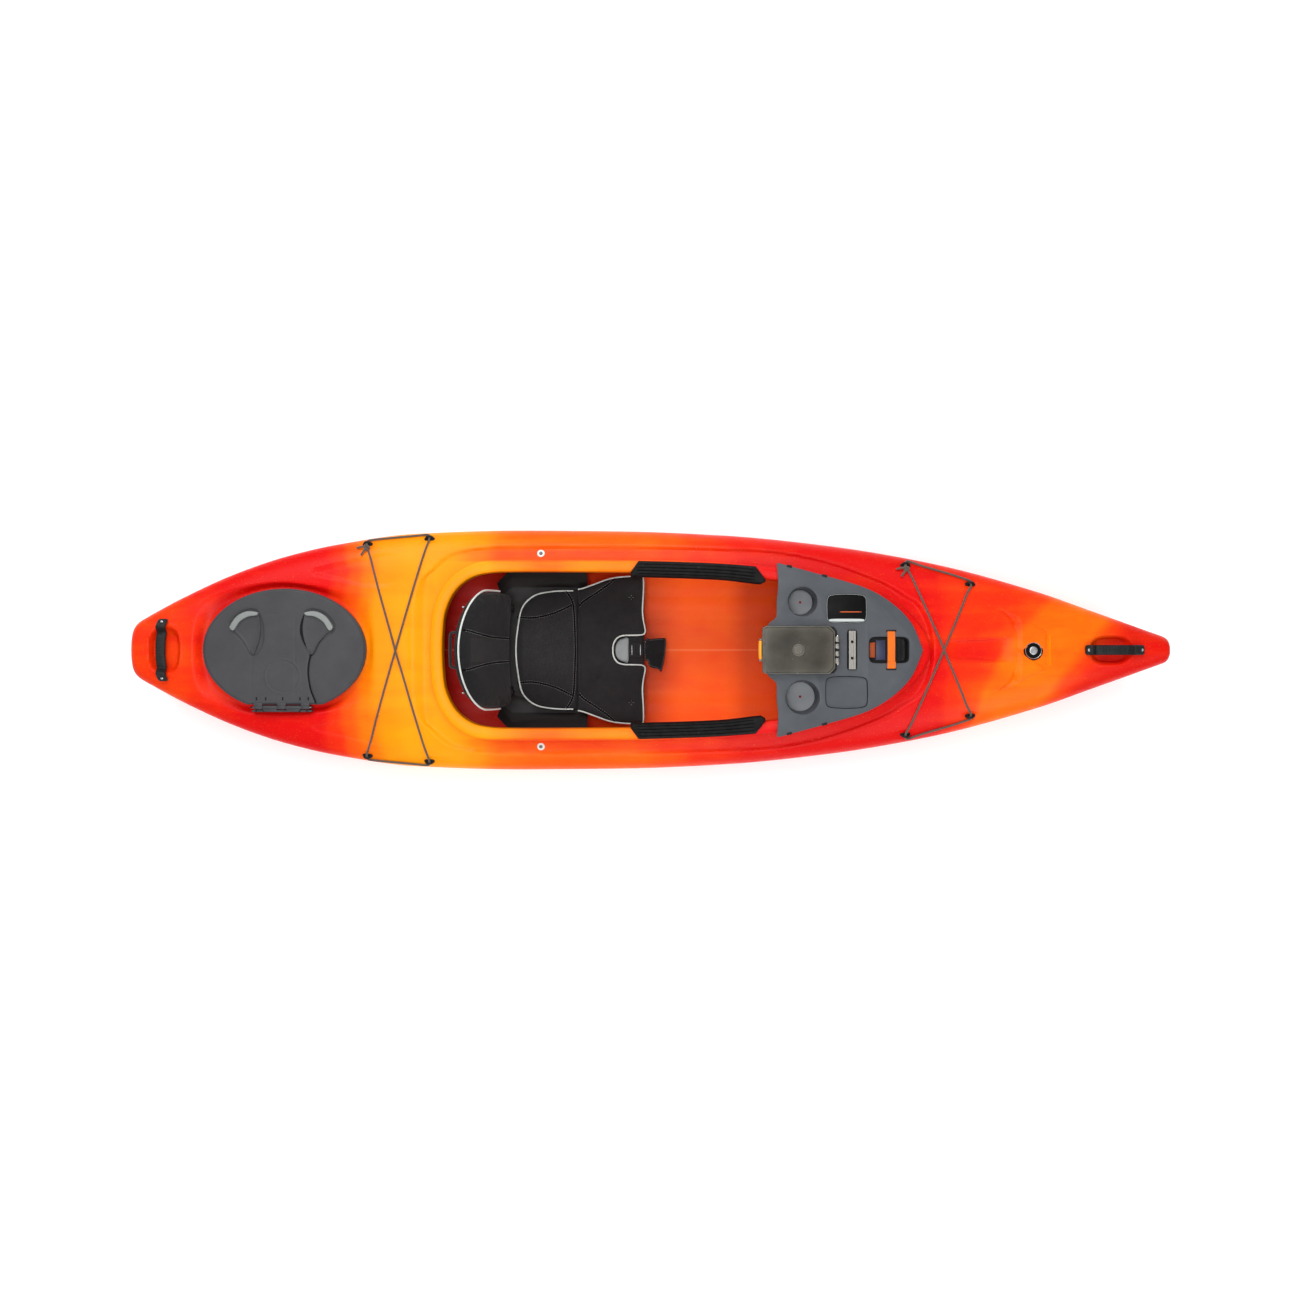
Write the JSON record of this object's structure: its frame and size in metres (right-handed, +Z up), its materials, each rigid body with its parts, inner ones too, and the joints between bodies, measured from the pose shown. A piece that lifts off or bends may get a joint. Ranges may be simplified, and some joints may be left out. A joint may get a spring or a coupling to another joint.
{
  "type": "recreational kayak",
  "caption": "Sit-in kayak with a cockpit coaming, padded reclining seat, lift-off console with a hinged dry box, thigh pads, foot braces, stern hatch, bungee rigging and carry handles.",
  "frame": {"origin": "under the middle of the hull, on the flat of the keel", "axes": "+X towards the bow, +Y to port, +Z up"},
  "size_m": [3.2, 0.7438, 0.435],
  "materials": {
    "hull_plastic": "satin",
    "console_plastic": "matte",
    "hatch_plastic": "satin",
    "dark_plastic": "matte",
    "rubber": "matte",
    "seat_fabric": "matte",
    "foam": "matte",
    "bungee_cord": "matte",
    "strap_webbing": "matte",
    "steel": "satin",
    "aluminium": "satin",
    "smoke_lid": "gloss",
    "latch_orange": "satin"
  },
  "bodies": {
    "hull": {"hull_shell": "hull_plastic", "rear_bulkhead": "foam", "bow_foam_block": "foam", "hatch_gasket": "rubber", "hatch_hinge_leaf": "hatch_plastic", "hatch_hinge_pin": "steel", "bow_eye_aft_port": "dark_plastic", "bow_eye_aft_starboard": "dark_plastic", "bow_eye_forward_port": "dark_plastic", "bow_eye_forward_starboard": "dark_plastic", "stern_eye_aft_port": "dark_plastic", "stern_eye_aft_starboard": "dark_plastic", "stern_eye_forward_port": "dark_plastic", "stern_eye_forward_starboard": "dark_plastic", "bow_bungee": "bungee_cord", "stern_bungee": "bungee_cord", "bow_handle": "rubber", "stern_handle": "rubber", "bow_handle_screw_a": "steel", "bow_handle_screw_b": "steel", "stern_handle_screw_a": "steel", "stern_handle_screw_b": "steel", "seat_base": "dark_plastic", "seat_cushion": "seat_fabric", "back_pivot_port": "steel", "back_pivot_starboard": "steel", "seat_hanger_port": "aluminium", "seat_hanger_starboard": "aluminium", "seat_bolt_port": "steel", "seat_bolt_starboard": "steel", "thigh_pad_port": "foam", "thigh_pad_starboard": "foam", "foot_rail_port": "dark_plastic", "foot_rail_starboard": "dark_plastic", "foot_rail_bolt_aft_port": "steel", "foot_rail_bolt_aft_starboard": "steel", "foot_rail_bolt_forward_port": "steel", "foot_rail_bolt_forward_starboard": "steel"},
    "stern_hatch": {"hatch_lid": "hatch_plastic"},
    "latch_aft": {"hatch_latch_aft": "dark_plastic"},
    "latch_forward": {"hatch_latch_forward": "dark_plastic"},
    "console": {"console_panel": "console_plastic", "dry_box_body": "dark_plastic", "dry_box_gasket": "rubber", "dry_box_hinge_pin": "steel", "accessory_track": "aluminium", "placard": "dark_plastic", "battery_tray": "dark_plastic", "battery_strap": "strap_webbing"},
    "box_lid": {"dry_box_lid": "smoke_lid"},
    "box_latch": {"dry_box_latch": "latch_orange"},
    "backrest": {"backrest_shell": "dark_plastic", "backrest_cushion": "seat_fabric", "backrest_handle": "rubber"},
    "leg_lift": {"leg_lift_cushion": "seat_fabric", "leg_lift_plate": "dark_plastic", "leg_lift_buckle": "dark_plastic", "leg_lift_strap": "seat_fabric"},
    "pedal_port": {"foot_pedal_port": "dark_plastic"},
    "pedal_starboard": {"foot_pedal_starboard": "dark_plastic"}
  },
  "joints": [
    {"name": "hatch_hinge", "type": "hinge", "parent": "hull", "child": "stern_hatch", "pos_m": [-1.12, -0.176, 0.285], "axis": [1, 0, 0], "range_deg": [0, 110]},
    {"name": "latch_aft_turn", "type": "hinge", "parent": "stern_hatch", "child": "latch_aft", "pos_m": [-1.209, -0.003, 0.289], "axis": [0, 0, 1], "range_deg": [0, 75]},
    {"name": "latch_forward_turn", "type": "hinge", "parent": "stern_hatch", "child": "latch_forward", "pos_m": [-1.028, -0.003, 0.289], "axis": [0, 0, -1], "range_deg": [0, 75]},
    {"name": "console_lift", "type": "slide", "parent": "hull", "child": "console", "axis": [0, 0, 1], "range_m": [0, 0.25]},
    {"name": "box_lid_hinge", "type": "hinge", "parent": "console", "child": "box_lid", "pos_m": [0.574, 0, 0.3815], "axis": [0, 1, 0], "range_deg": [0, 105]},
    {"name": "box_latch_hinge", "type": "hinge", "parent": "box_lid", "child": "box_latch", "pos_m": [0.3415, 0, 0.3815], "axis": [0, 1, 0], "range_deg": [0, 110]},
    {"name": "backrest_recline", "type": "hinge", "parent": "hull", "child": "backrest", "pos_m": [-0.44, 0, 0.118], "axis": [0, 1, 0], "range_deg": [-10, 52]},
    {"name": "leg_lift_tilt", "type": "hinge", "parent": "hull", "child": "leg_lift", "pos_m": [-0.2205, 0, 0.102], "axis": [0, -1, 0], "range_deg": [0, 14]},
    {"name": "pedal_port_slide", "type": "slide", "parent": "hull", "child": "pedal_port", "axis": [0.9826, -0.1858, 0], "range_m": [-0.125, 0.125]},
    {"name": "pedal_starboard_slide", "type": "slide", "parent": "hull", "child": "pedal_starboard", "axis": [0.9826, 0.1858, 0], "range_m": [-0.125, 0.125]}
  ]
}
